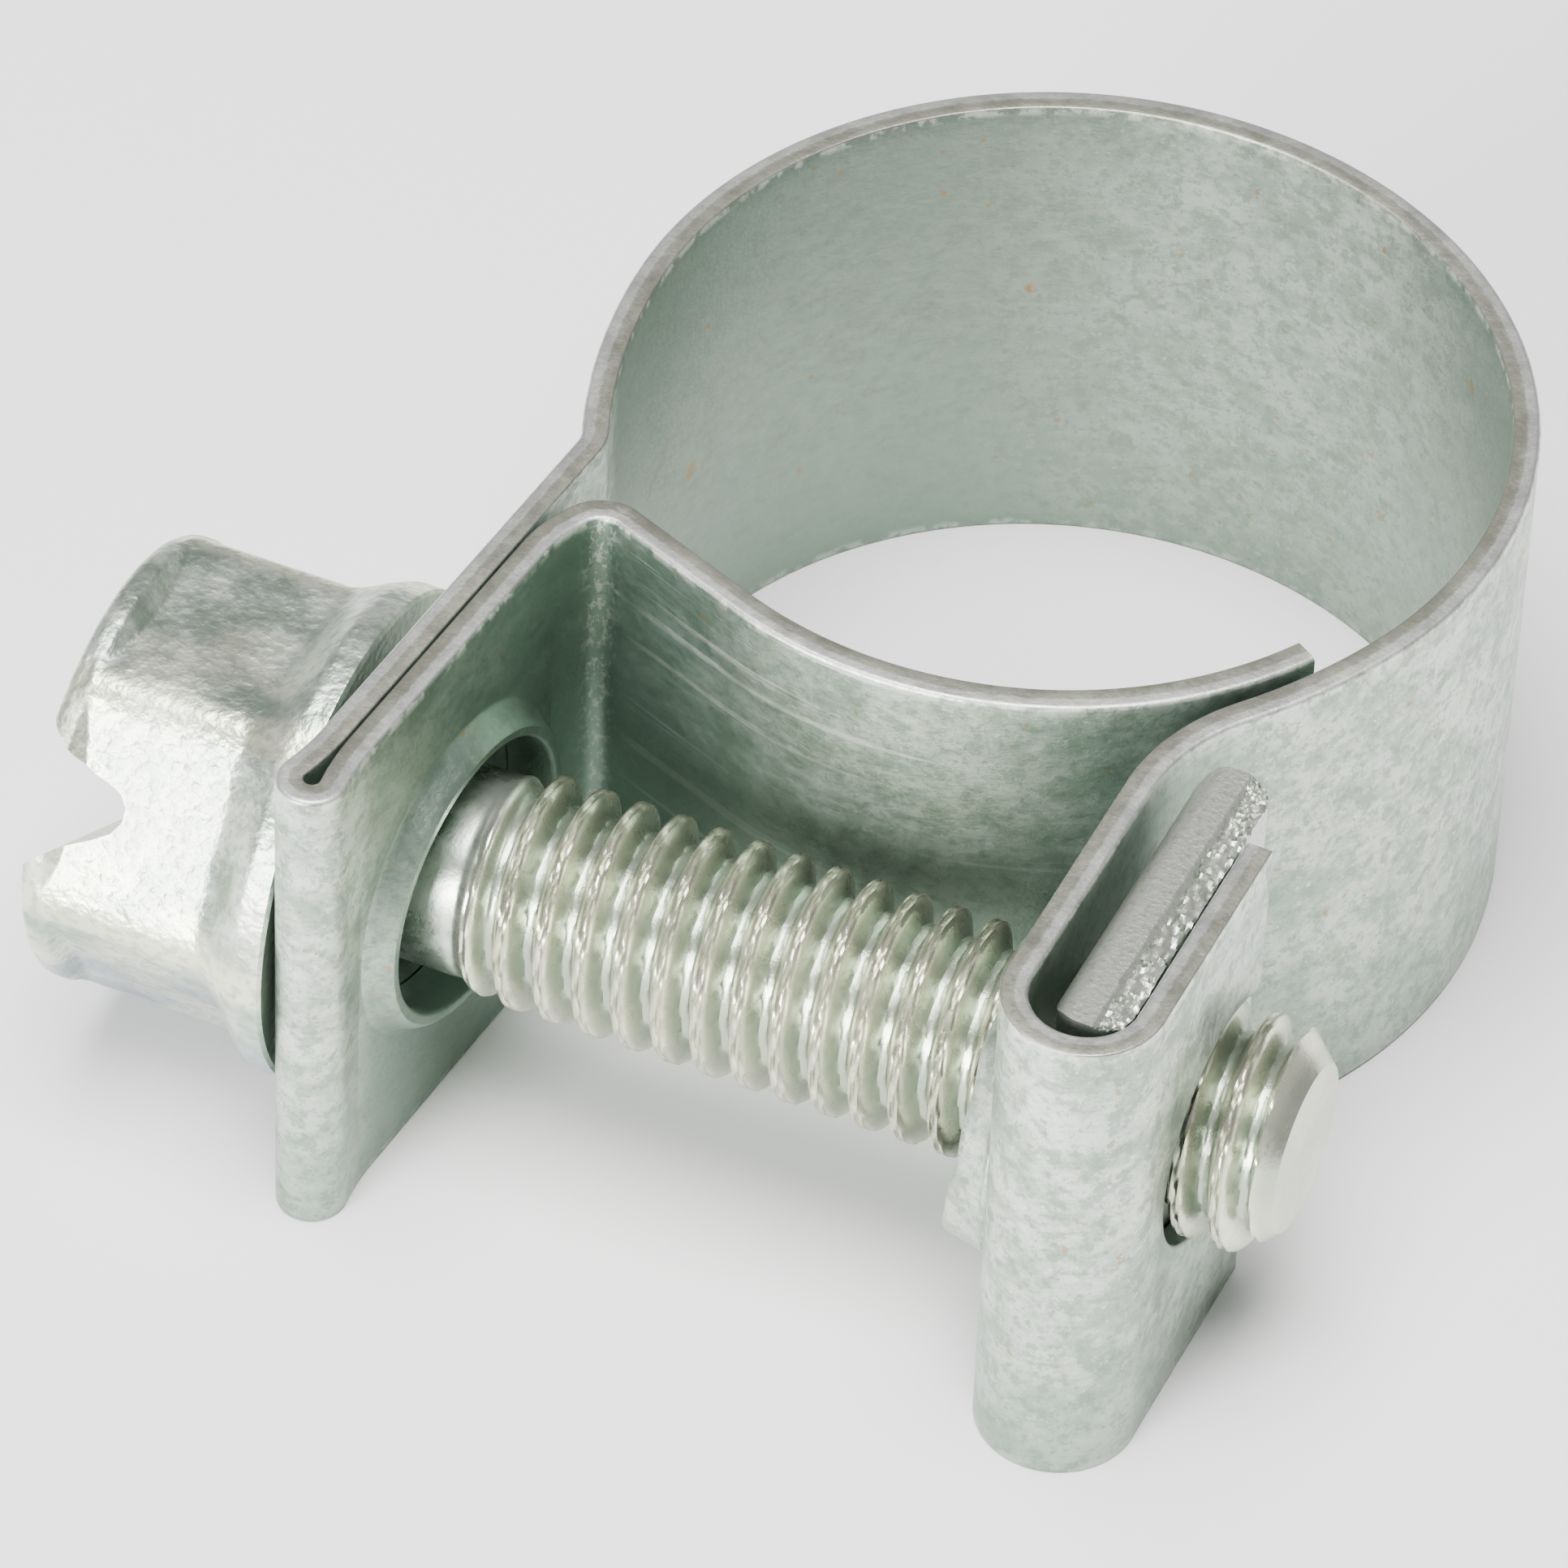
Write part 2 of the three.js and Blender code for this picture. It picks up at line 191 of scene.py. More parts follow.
screw_side, SCREW_TOTAL = lay_path(math.pi, SCREW_SIDE)
nut_side, NUT_TOTAL = lay_path(0.0, NUT_SIDE)


def strip_point(s):
    """Middle of the strip at length s from the crown, positive on the screw's side.

    Returns x, y and the heading toward the tongue; the hose is on the left of that heading.
    """
    stretches, distance = (screw_side, s) if s >= 0 else (nut_side, -s)
    start, _, bend, x, y, heading = [t for t in stretches if t[0] <= distance + 1e-9][-1]
    x, y, heading = advance(x, y, heading, bend, distance - start)
    return x, y, heading if s >= 0 else heading + math.pi


WIDE_STEP = 0.16      # along wide arcs and straights
TIGHT_STEP = 0.05     # along tight bends
TIGHT_R = 4.0
END_STEP = 0.01       # first and last ring, so that neighbouring pieces shade alike
STRIP_SAMPLES = 1500  # places along a piece that its points are matched with


def ring_lengths(low, high):
    """Lengths at which the strip between low and high gets a ring of points."""
    cuts = {low, high, low + END_STEP, high - END_STEP}
    for stretches, sign in ((screw_side, 1), (nut_side, -1)):
        for start, length, bend, *_ in stretches:
            step = TIGHT_STEP if abs(bend) > 1 / TIGHT_R else WIDE_STEP
            count = max(1, math.ceil(length / step))
            cuts.update(sign * (start + length * i / count) for i in range(count + 1))
    inside = sorted(c for c in cuts if low <= c <= high)
    kept = [inside[0]]
    for c in inside[1:]:
        if c - kept[-1] > END_STEP / 2:
            kept.append(c)
    kept[-1] = high
    return kept


# ---- meshes -------------------------------------------------------------------------------

SHARP_ANGLE = math.radians(38)
MERGE_DISTANCE = 2e-7                # metres
THIN_EDGE = 1e-7


def mesh_object(name, points, faces):
    """A piece from points in the clamp's axes, smooth except along its sharp edges."""
    mesh = bpy.data.meshes.new(name)
    mesh.from_pydata([place(*p) for p in points], [], faces)
    return finish_mesh(name, mesh)


def finish_mesh(name, mesh):
    bm = bmesh.new()
    bm.from_mesh(mesh)
    bmesh.ops.remove_doubles(bm, verts=bm.verts, dist=MERGE_DISTANCE)
    bmesh.ops.dissolve_degenerate(bm, edges=bm.edges, dist=THIN_EDGE)
    bmesh.ops.recalc_face_normals(bm, faces=bm.faces)
    for face in bm.faces:
        face.smooth = True
    for edge in bm.edges:
        edge.smooth = len(edge.link_faces) == 2 and edge.calc_face_angle(0.0) < SHARP_ANGLE
    bm.to_mesh(mesh)
    bm.free()
    piece = bpy.data.objects.new(name, mesh)
    bpy.context.scene.collection.objects.link(piece)
    return piece


def ring_faces(rings, count):
    """Four-sided faces between neighbouring rings of count points each."""
    faces = []
    for ring in range(rings - 1):
        a, b = ring * count, (ring + 1) * count
        for i in range(count):
            j = (i + 1) % count
            faces.append((a + i, a + j, b + j, b + i))
    return faces


def closed_faces(rings, count):
    """The same, with a flat face at each end."""
    last = (rings - 1) * count
    ends = [tuple(range(count)), tuple(last + i for i in reversed(range(count)))]
    return ring_faces(rings, count) + ends


def axes_about(direction):
    """The direction itself, a level direction square to it, and the one square to both."""
    along = Vector(direction).normalized()
    side = along.cross(Vector((0, 0, 1))).normalized()
    return along, side, along.cross(side)


def around(origin, axes, angle, level, radius):
    """A point at an angle, a level and a radius about the first of the axes."""
    along, side, third = axes
    outward = side * math.cos(angle) + third * math.sin(angle)
    return Vector(origin) + along * level + outward * radius


def turned(name, profile, segments, origin, direction):
    """A solid turned about an axis. profile is [(radius, level)], from axis to axis."""
    axes = axes_about(direction)
    points = [
        around(origin, axes, 2 * math.pi * i / segments, level, radius)
        for radius, level in profile
        for i in range(segments)
    ]
    return mesh_object(name, points, ring_faces(len(profile), segments))


def boolean(piece, tool, operation):
    """Applies one exact boolean and removes the tool."""
    modifier = piece.modifiers.new("cut", "BOOLEAN")
    modifier.operation = operation
    modifier.solver = "EXACT"
    modifier.object = tool
    evaluated = piece.evaluated_get(bpy.context.evaluated_depsgraph_get())
    mesh = bpy.data.meshes.new_from_object(evaluated)
    name = piece.name
    old = piece.data
    bpy.data.objects.remove(piece)
    bpy.data.meshes.remove(old)
    tool_mesh = tool.data
    bpy.data.objects.remove(tool)
    bpy.data.meshes.remove(tool_mesh)
    return finish_mesh(name, mesh)


def arc_points(radius, start, end, steps, centre=(0.0, 0.0)):
    """Points of an arc, angles in degrees."""
    return [
        (centre[0] + radius * math.cos(a), centre[1] + radius * math.sin(a))
        for a in (math.radians(start + (end - start) * i / steps) for i in range(steps + 1))
    ]


# ---- strip --------------------------------------------------------------------------------

ROLL_R = 0.09         # corner pulled down by the shear, on the outside of the loop
BURR_R = 0.035        # crisp corner on the hose side
FACE_ROWS = 24        # rows of points across the width of each face
EDGE_ZONE = 0.2       # the ears keep only the rows this close to an edge


def strip_section():
    """Outline of the cut strip as (offset toward the hose, z), lower outside corner first."""
    half = THICK / 2
    outer = arc_points(ROLL_R, 180, 270, 5, (-half + ROLL_R, ROLL_R))
    inner = arc_points(BURR_R, 270, 360, 3, (half - BURR_R, BURR_R))
    lower = outer + [(0.3 * half, 0.0)] + inner
    upper = [(n, WIDTH - z) for n, z in reversed(lower)]
    inner_face = [
        (half, BURR_R + (WIDTH - 2 * BURR_R) * i / FACE_ROWS) for i in range(1, FACE_ROWS)
    ]
    outer_face = [
        (-half, WIDTH - ROLL_R - (WIDTH - 2 * ROLL_R) * i / FACE_ROWS) for i in range(1, FACE_ROWS)
    ]
    return lower + inner_face + upper + outer_face


SECTION = strip_section()


def strip_solid(name, low, high, face_rows=True):
    """A run of the strip with flat ends."""
    section = SECTION
    if not face_rows:
        section = [p for p in SECTION if not EDGE_ZONE < p[1] < WIDTH - EDGE_ZONE]
    points = []
    rings = ring_lengths(low, high)
    for s in rings:
        x, y, heading = strip_point(s)
        for offset, z in section:
            points.append((x - offset * math.sin(heading), y + offset * math.cos(heading), z))
    return mesh_object(name, points, closed_faces(len(rings), len(section)))


def lay_strip_coordinates(piece, low, high):
    """Stores (length along the strip, offset toward the hose, z) in millimetres on each point."""
    samples = np.linspace(low, high, STRIP_SAMPLES)
    line = np.array([strip_point(s) for s in samples])
    count = len(piece.data.vertices)
    points = np.empty(count * 3)
    piece.data.vertices.foreach_get("co", points)
    points = points.reshape(-1, 3) / MM - np.array(SHIFT)
    coordinates = np.empty((count, 3))
    for i, (x, y, z) in enumerate(points):
        away = (line[:, 0] - x) ** 2 + (line[:, 1] - y) ** 2
        k = int(away.argmin())
        offset = (y - line[k, 1]) * math.cos(line[k, 2]) - (x - line[k, 0]) * math.sin(line[k, 2])
        coordinates[i] = samples[k], offset, z
    attribute = piece.data.attributes.new("strip", "FLOAT_VECTOR", "POINT")
    attribute.data.foreach_set("vector", coordinates.ravel())


def screw_crossing(stretches, index):
    """Point where a straight layer of an ear crosses the screw line, and the way it faces there.

    An inner layer faces the gap between the ears.
    """
    _, _, _, x, y, heading = stretches[index]
    along = (SCREW_Y - y) / math.sin(heading)
    x, y, heading = advance(x, y, heading, 0.0, along)
    return Vector((x, y, SCREW_Z)), (math.sin(heading), -math.cos(heading), 0)


def plain_lip(angle):
    """Base radius and height round the lip of the screw ear, the same at every angle."""
    return LIP_BASE_R, SCREW_LIP_H


def torn_lip(angle):
    """Base radius and height round the lip of the nut ear, drawn out to a torn corner."""
    toward_corner = max(0.0, math.cos(angle - TORN_CORNER))
    corner = math.exp(-((angle - TORN_CORNER) / 0.34) ** 2)
    wave = 0.035 * math.sin(5 * angle) + 0.02 * math.sin(13 * angle + 1)
    return LIP_BASE_R + 0.38 * toward_corner ** 2, NUT_LIP_H * (0.72 + 0.38 * corner) + wave


def lip(name, origin, gapward, shape):
    """Cone pushed up around the hole of an ear, with a rounded rim.

    The rows are (out from the base radius, up): the foot's from the strip, the rim's from its top.
    """
    half = THICK / 2
    foot = [(0.1, -0.1), (0.12, half - 0.02), (0.02, half + 0.03), (-0.05, half + 0.12)]
    rim = [(-LIP_WALL + 0.06, -0.13), (-LIP_WALL, -0.05), (-LIP_WALL - 0.06, 0.0)]
    axes = axes_about(gapward)
    points = []
    for rows, raised in ((foot, 0), (rim, 1)):
        for out, up in rows:
            for i in range(ROUND):
                angle = 2 * math.pi * i / ROUND
                base, height = shape(angle)
                level = raised * (half + height) + up
                points.append(around(origin, axes, angle, level, base + out))
    faces = ring_faces(len(foot) + len(rim), ROUND)
    faces.append(tuple(range(ROUND)))
    last = len(points) - ROUND
    top = len(points)
    points.append(Vector(origin) + axes[0] * (half + LIP_PLUG))
    faces += [(last + i, last + (i + 1) % ROUND, top) for i in range(ROUND)]
    return mesh_object(name, points, faces)


def hole_cutter(origin, gapward, low, high):
    """A cutter whose mouths flare, so that the edges of the hole come out rounded."""
    radius, flare = EAR_HOLE_R, EAR_HOLE_FLARE
    mouth = [(1.2, -0.2), (0.5, 0.3), (0.0, 1.0)]       # (out, in) as shares of the flare
    below = [(radius + out * flare, low + inward * flare) for out, inward in mouth]
    above = [(radius + out * flare, high - inward * flare) for out, inward in reversed(mouth)]
    start = [(0.0, low - 1), (radius + 2 * flare, low - 1)]
    end = [(radius + 2 * flare, high + 1), (0.0, high + 1)]
    return turned("ear_hole", start + below + above + end, ROUND, origin, gapward)


def add_lip(ear, origin, gapward, shape, low, high):
    """Pushes up the lip of an ear and cuts its hole, from the low to the high level."""
    ear = boolean(ear, lip("ear_lip", origin, gapward, shape), "UNION")
    return boolean(ear, hole_cutter(origin, gapward, low, high), "DIFFERENCE")


def middle_of(stretch):
    start, length, *_ = stretch
    return start + length / 2


# Lengths along the strip: its flexing lines, then the cuts between its pieces.
LOOP_START = middle_of(screw_side[SCREW_BEND])
LOOP_END = -(nut_side[NUT_BEND][0] + LOOP_END_AT)
TONGUE_START = middle_of(screw_side[TONGUE_BEND])
TONGUE_SECOND = screw_side[TONGUE_ARC][0] + TONGUE_FLEX_AT
EAR_CUT = LOOP_START + SCREW_EAR_CUT
LOOP_END_CUT = LOOP_END - NUT_EAR_CUT
EAR_TOP_CUT = screw_side[TONGUE_LEAN][0] + TONGUE_CUT


def make_screw_ear():
    """Doubled ear under the screw head."""
    low, high = EAR_CUT, EAR_TOP_CUT
    ear = strip_solid("strip_screw_ear", low, high, face_rows=False)
    half = THICK / 2
    inner, gapward = screw_crossing(screw_side, SCREW_INNER)
    ear = add_lip(ear, inner, gapward, plain_lip, -LAYER_STEP - half, half + SCREW_LIP_H)
    lay_strip_coordinates(ear, low, high)
    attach(ear, "screw_ear")
    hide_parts("band_screw_ear")
    return ear


def outer_hole_cutter(origin, outward):
    """A cutter that leaves a sharp edge toward the nut and a slightly rounded one outside."""
    half = THICK / 2
    end = 0.9
    wide = OUTER_HOLE_R + 0.12
    profile = [
        (0.0, -end), (OUTER_HOLE_R, -end), (OUTER_HOLE_R, half - 0.06),
        (OUTER_HOLE_R + 0.03, half - 0.015), (wide, half + 0.02), (wide, end), (0.0, end),
    ]
    return turned("outer_hole", profile, ROUND, origin, outward)


def make_nut_ear():
    """Open fold that holds the nut."""
    low, high = -NUT_TOTAL, LOOP_END_CUT
    ear = strip_solid("strip_nut_ear", low, high, face_rows=False)
    half = THICK / 2
    inner, gapward = screw_crossing(nut_side, NUT_INNER)
    ear = add_lip(ear, inner, gapward, torn_lip, -half, half + NUT_LIP_H)
    outer, _ = screw_crossing(nut_side, NUT_OUTER)
    ear = boolean(ear, outer_hole_cutter(outer, [-c for c in gapward]), "DIFFERENCE")
    lay_strip_coordinates(ear, low, high)
    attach(ear, "nut_ear")
    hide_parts("band_nut_ear")
    return ear


def make_flexing(name, low, high, node):
    """A run of strip from length low to length high, with its strip coordinates, baked into the row
    frame; the CAD node it stands for is hidden.
    """
    piece = strip_solid(name, low, high)
    lay_strip_coordinates(piece, low, high)
    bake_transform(piece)
    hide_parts(node)
    return piece


def halfway_cuts(flex):
    """Cuts between flexing pieces, halfway from each flexing line to the next."""
    return [(a + b) / 2 for a, b in zip(flex, flex[1:])]


def make_loop():
    """The loop in pieces, from the screw ear round to the nut ear, so with falling lengths."""
    third, far_third = LOOP_START / 3, LOOP_END / 3
    flex = [LOOP_START, 2 * third, third, 0.0, far_third, 2 * far_third, LOOP_END]
    cuts = [EAR_CUT, *halfway_cuts(flex), LOOP_END_CUT]
    bodies = ["screw_ear", *(f"loop_{i + 1}" for i in range(LOOP_BODIES)), "nut_ear"]
    return [
        make_flexing(
            f"strip_loop_{i + 1}", cuts[i + 1], cuts[i],
            f"band_{bodies[i + 1]}",
        )
        for i, at in enumerate(flex)
    ]


def make_tongue():
    """The tongue in pieces, from the screw ear to its tip."""
    flex = [TONGUE_START, TONGUE_SECOND, (TONGUE_SECOND + SCREW_TOTAL) / 2]
    cuts = [EAR_TOP_CUT, *halfway_cuts(flex), SCREW_TOTAL]
    bodies = ["screw_ear", *(f"tongue_{i + 1}" for i in range(TONGUE_BODIES))]
    return [
        make_flexing(
            f"strip_tongue_{i + 1}", cuts[i], cuts[i + 1],
            f"band_{bodies[i + 1]}",
        )
        for i, at in enumerate(flex)
    ]


def make_strip():
    return [make_screw_ear(), *make_loop(), make_nut_ear(), *make_tongue()]


# ---- screw --------------------------------------------------------------------------------

def smooth(low, high, value):
    """0 at low and 1 at high, with a soft start and end."""
    t = min(1.0, max(0.0, (value - low) / (high - low)))
    return t * t * (3 - 2 * t)


def thread_height(place_in_pitch):
    """Share of the thread's height at a place in the pitch, 0 and 1 being the crest.

    Rolling leaves a fine seam in the crest.
    """
    away = min(place_in_pitch, 1 - place_in_pitch)
    flank = 1 - smooth(0.09, 0.42, away)
    seam = 0.16 * math.exp(-(away / 0.035) ** 2)
    return flank - seam


def shank_radius(x, angle):
    """Radius of the neck, the thread that fades in from it, and the chamfered tip."""
    fade = smooth(THREAD_START - 0.1, THREAD_START + PITCH, x)
    height = thread_height(((x - THREAD_PHASE) / PITCH - angle / (2 * math.pi)) % 1.0)
    radius = (1 - fade) * NECK_R + fade * (ROOT_R + (CREST_R - ROOT_R) * height)
    past_chamfer = x - (SCREW_END - TIP_CHAMFER)
    if past_chamfer > 0:
        radius = min(radius, CREST_R - (CREST_R - TIP_R) * past_chamfer / TIP_CHAMFER)
    return radius


def soft_minimum(a, b, sharpness):
    """The smaller of two values, blended where they are close."""
    return -math.log(math.exp(-a * sharpness) + math.exp(-b * sharpness)) / sharpness


def hex_radius(angle):
    """Distance from the screw's axis to the hexagon, with worn corners."""
    turn = (angle - math.radians(HEX_TURN)) % (math.pi / 3)
    flat = HEX_AF / 2 / math.cos(turn - math.pi / 6)
    return soft_minimum(flat, HEX_CORNER_R, 16)


def rim_radius(x):
    """Round rim at the end of the head: a rounded edge, then a fade into the flats."""
    from_end = x - HEAD_FACE
    fade = smooth(RIM_LENGTH * 0.45, RIM_LENGTH, from_end)
    radius = RIM_R - fade * (RIM_R - HEX_AF / 2 + 0.1)
    if from_end < RIM_EDGE:
        radius -= 0.8 * RIM_EDGE * (1 - math.sqrt(1 - (1 - from_end / RIM_EDGE) ** 2))
    return radius


def head_radius(x, angle):
    """Radius of the head: round rim, hexagon, fillet, flange."""
    rim = rim_radius(x)
    trimmed = RIM_R + max(0.0, x - HEAD_FACE - RIM_BAND) * 0.6
    hexagon = min(hex_radius(angle), trimmed)
    if x < HEAD_FACE + RIM_BAND:
        return min(rim, RIM_R)
    if x < FILLET_START:
        return -soft_minimum(-hexagon, -rim, 40)
    fillet = smooth(FILLET_START, FILLET_END, x)
    return max(hexagon * (1 - fillet) + FLANGE_R * fillet, hexagon)


def bevelled_head_radius(x, angle):
    return head_radius(x, angle) - max(0.0, x - (FLANGE_FACE - FLANGE_BEVEL))


def polar_solid(name, stations, radius_at, segments):
    """Solid about the screw's axis. stations are x values; radius_at(x, angle) gives its surface."""
    points = []
    for x in stations:
        for i in range(segments):
            a = 2 * math.pi * i / segments
            r = radius_at(x, a)
            points.append((x, SCREW_Y + r * math.cos(a), SCREW_Z + r * math.sin(a)))
    faces = ring_faces(len(stations), segments)
    for row, x in ((0, stations[0]), (len(stations) - 1, stations[-1])):
        centre = len(points)
        points.append((x, SCREW_Y, SCREW_Z))
        for i in range(segments):
            j = (i + 1) % segments
            faces.append((row * segments + i, centre, row * segments + j))
    return mesh_object(name, points, faces)


def make_shank():
    """Neck, rolled thread and chamfered tip."""
    step = PITCH / THREAD_STATIONS
    start = FLANGE_FACE - NECK_SINK
    count = int((SCREW_END - start) / step)
    stations = [start + (SCREW_END - start) * i / count for i in range(count + 1)]
    shank = polar_solid("screw_shank", stations, shank_radius, ROUND)
    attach(shank, "screw")
    return shank


def slot_cutter():
    """Screwdriver slot: a rounded floor and two walls that open out, one more than the other."""
    outline = [
        (1.65, -0.3), (1.17, 0.2), (0.86, 0.58), (0.58, 1.08), (0.38, 1.38), (0.14, 1.53),
        (-0.12, 1.54), (-0.32, 1.4), (-0.43, 1.18), (-0.52, 0.88), (-0.66, 0.62), (-0.88, 0.36),
        (-1.12, 0.1), (-1.5, -0.3),
    ]
    turn = math.radians(SLOT_TURN)
    along = Vector((0, math.cos(turn), math.sin(turn)))
    across = Vector((0, -math.sin(turn), math.cos(turn)))
    points = []
    for end in (-HEX_AF, HEX_AF):
        for a, depth in outline:
            points.append(Vector((HEAD_FACE + depth, SCREW_Y, SCREW_Z)) + along * end + across * a)
    return mesh_object("slot_tool", points, closed_faces(2, len(outline)))


def make_head():
    """Flanged hexagon head with its screwdriver slot."""
    end = [HEAD_FACE + RIM_EDGE * (1 - math.cos(math.pi / 2 * i / 7)) for i in range(8)]
    rim = [HEAD_FACE + RIM_BAND + 0.05 * i for i in range(15)]
    body = [HEAD_FACE + 1.1 + 0.1 * i for i in range(21)]
    root = [FILLET_START + 0.05 * i for i in range(22)]
    edge = [FLANGE_FACE - FLANGE_BEVEL, FLANGE_FACE - 0.02, FLANGE_FACE]
    stations = sorted(set(end + rim + body + root + edge))
    head = polar_solid("screw_head", stations, bevelled_head_radius, HEAD_ROUND)
    head = boolean(head, slot_cutter(), "DIFFERENCE")
    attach(head, "screw")
    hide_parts("clamp_screw")
    return head


# ---- nut ----------------------------------------------------------------------------------

def nut_half_thickness(along):
    """Half the plate's thickness left at this place, after its rounded ends."""
    from_end = min(along + NUT_FRONT, NUT_LENGTH - NUT_FRONT - along)
    if from_end >= NUT_CORNER:
        return NUT_THICK / 2
    short = NUT_CORNER - max(from_end, 0.0)
    return NUT_THICK / 2 - NUT_CORNER + math.sqrt(NUT_CORNER ** 2 - short ** 2)


def nut_drop(out, grain):
    """How far the punched edge lies below the plate's full width: rolled over, sheared, torn.

    out runs across the plate's thickness, positive toward the gap; grain is a random number.
    """
    torn_line = -NUT_THICK / 2 + NUT_TORN
    rolled = max(0.0, (out - NUT_ROLL_AT) / (NUT_THICK / 2 - NUT_ROLL_AT))
    torn = smooth(torn_line + 0.05, torn_line - 0.05, out)
    return 0.02 + 0.3 * rolled ** 2.4 + torn * (0.06 + 0.05 * abs(grain))


def plate_points(columns, rows):
    """Points of the plate's lower edge and then its upper one, in columns along the plate."""
    _, _, _, x0, y0, heading = nut_side[NUT_OUTER]
    forward = Vector((math.cos(heading), math.sin(heading), 0))
    gapward = Vector((-math.sin(heading), math.cos(heading), 0))
    middle = THICK / 2 + NUT_GAP + NUT_THICK / 2
    grain = np.random.default_rng(NUT_SEED).normal(0, 1, (columns + 1, rows + 1))
    points = []
    for upper in (False, True):
        for i in range(columns + 1):
            along = -NUT_FRONT + NUT_LENGTH * (0.5 - 0.5 * math.cos(math.pi * i / columns))
            half = max(nut_half_thickness(along), 0.02)
            for j in range(rows + 1):
                out = half * (2 * j / rows - 1)
                fall = nut_drop(out, grain[i, j])
                p = Vector((x0, y0, 0)) + forward * along + gapward * (middle + out)
                points.append((p.x, p.y, WIDTH - fall if upper else fall))
    return points


def plate_faces(columns, rows):
    """Faces on the two edges of the plate and all round between them."""
    width = rows + 1
    layer = (columns + 1) * width
    faces = []
    for i in range(columns):
        for j in range(rows):
            a = i * width + j
            faces.append((a, a + 1, a + 1 + width, a + width))
            faces.append((layer + a, layer + a + width, layer + a + 1 + width, layer + a + 1))
        for j in (0, rows):
            a = i * width + j
            faces.append((a, a + width, layer + a + width, layer + a))
    for i in (0, columns):
        for j in range(rows):
            a = i * width + j
            faces.append((a, a + 1, layer + a + 1, layer + a))
    return faces


def make_nut():
    """Punched plate with rounded ends and a torn band along its outer side."""
    columns, rows = 110, 30
    nut = mesh_object("nut_plate", plate_points(columns, rows), plate_faces(columns, rows))
    crossing, _ = screw_crossing(nut_side, NUT_OUTER)
    reach = 4
    profile = [(0.0, -reach), (NUT_BORE_R, -reach), (NUT_BORE_R, reach), (0.0, reach)]
    bore = turned("nut_bore", profile, BORE_ROUND, (crossing.x, SCREW_Y, SCREW_Z), (1, 0, 0))
    nut = boolean(nut, bore, "DIFFERENCE")
    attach(nut, "nut_ear")
    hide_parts("plate_nut")
    return nut


# ---- materials ----------------------------------------------------------------------------

